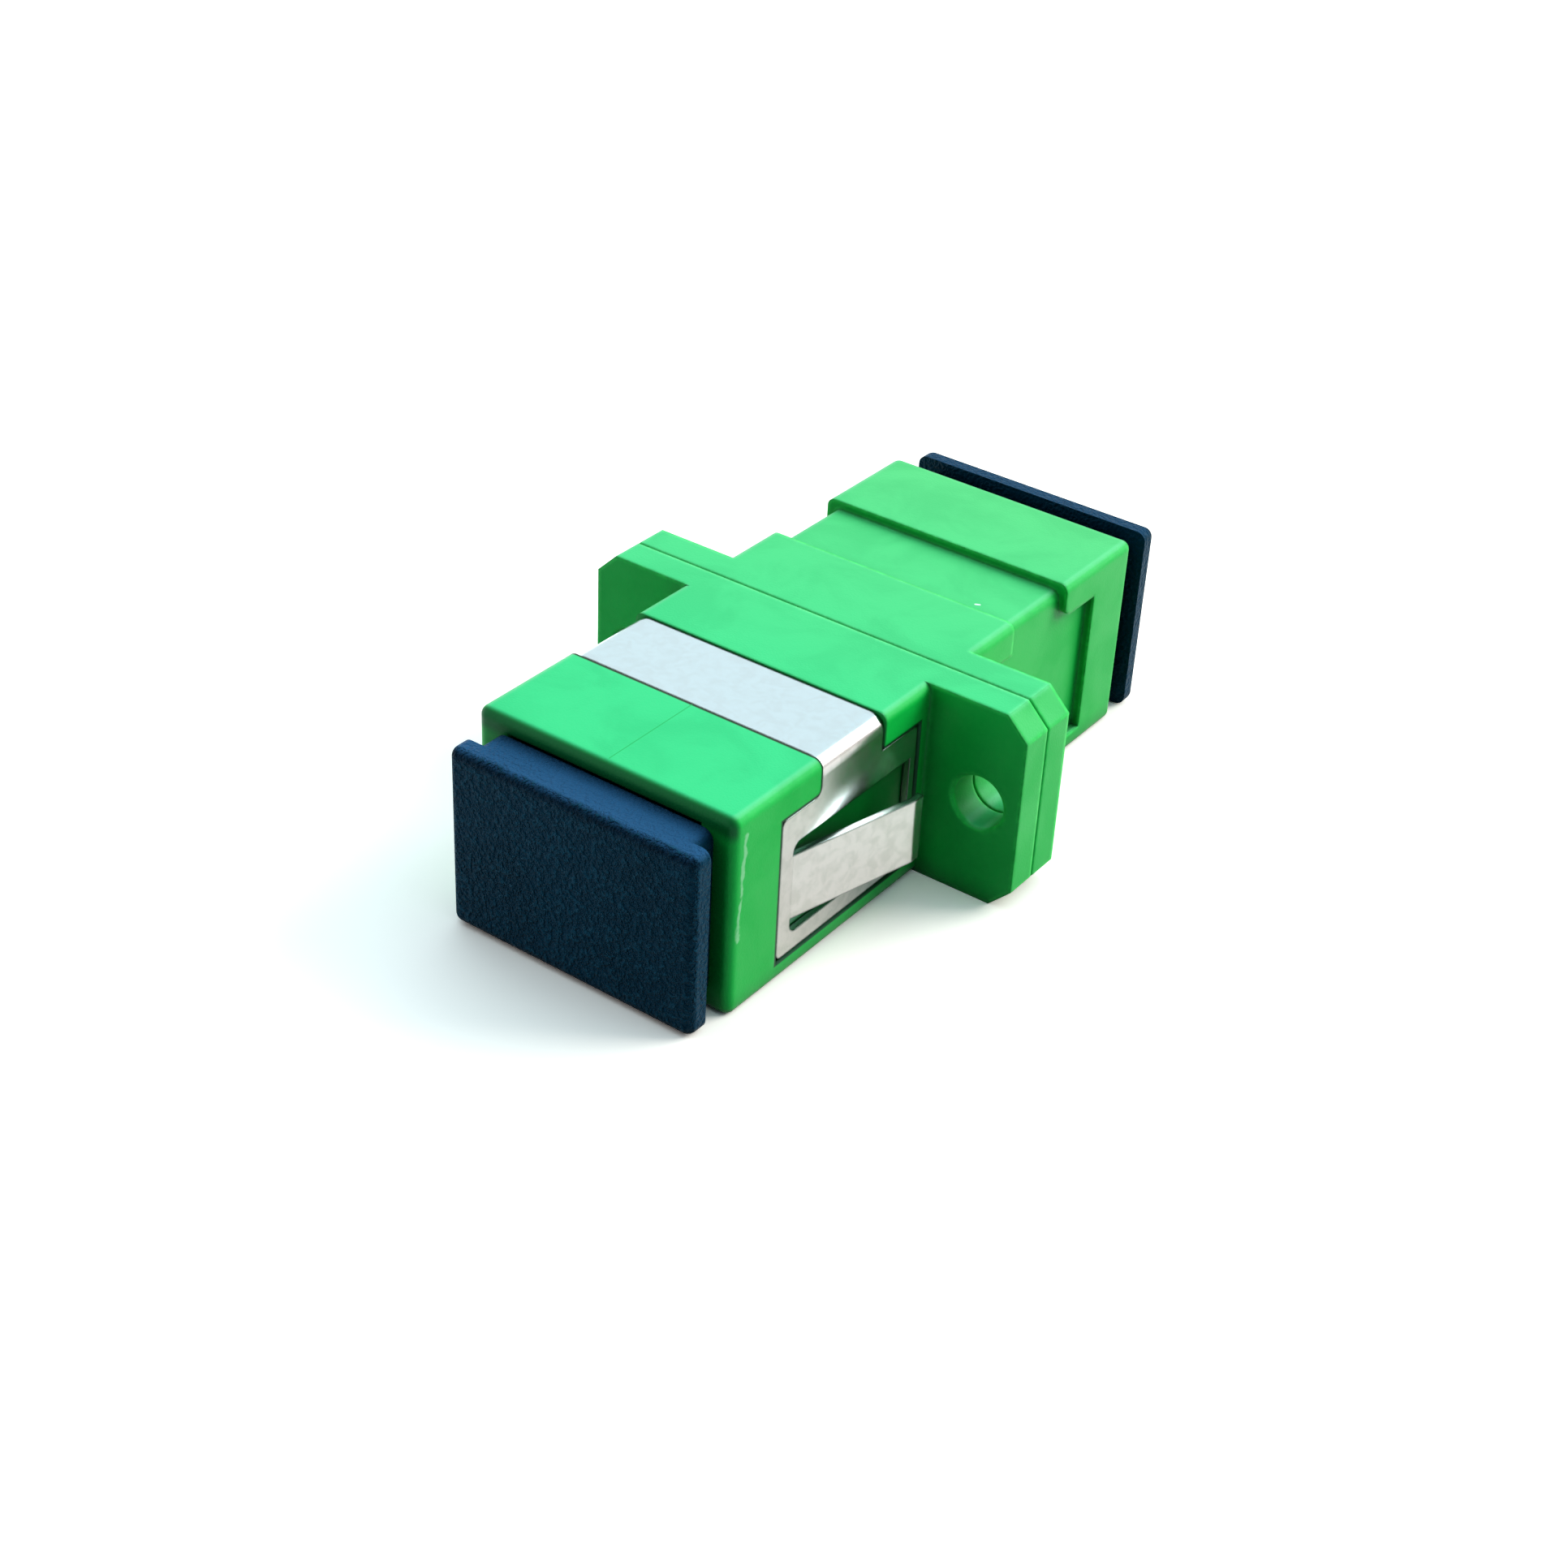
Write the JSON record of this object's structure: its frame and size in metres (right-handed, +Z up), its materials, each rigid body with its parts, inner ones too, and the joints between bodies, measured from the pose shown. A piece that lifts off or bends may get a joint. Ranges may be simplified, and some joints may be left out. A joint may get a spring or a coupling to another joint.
{
  "type": "sc fibre adapter",
  "caption": "Flanged square coupling sleeve that joins two push-pull fibre plugs end to end, with a spring clip, ears for screws and a dust cap in each port.",
  "frame": {"origin": "bottom face, midway across the flange, in the parting plane between the two halves", "axes": "+Z up, +Y along the ports from the front half (with the clip) to the rear half, +X across the flange"},
  "size_m": [0.022, 0.0334, 0.0092],
  "materials": {
    "green_moulding": "satin moulded",
    "holder_moulding": "natural moulded",
    "white_ceramic": "ground and polished zirconia",
    "spring_steel": "bright rolled strip",
    "cap_moulding": "fine spark-eroded texture on the plate"
  },
  "bodies": {
    "adapter": {"housing_front": "green_moulding", "housing_rear": "green_moulding", "sleeve_holder_front": "holder_moulding", "sleeve_holder_rear": "holder_moulding", "split_sleeve": "white_ceramic", "spring_clip": "spring_steel"},
    "cap_front": {"dust_cap_front": "cap_moulding"},
    "cap_rear": {"dust_cap_rear": "cap_moulding"}
  },
  "joints": [
    {"name": "cap_front_pull", "type": "slide", "parent": "adapter", "child": "cap_front", "axis": [0, -1, 0], "range_m": [0, 0.02]},
    {"name": "cap_rear_pull", "type": "slide", "parent": "adapter", "child": "cap_rear", "axis": [0, 1, 0], "range_m": [0, 0.02]}
  ]
}
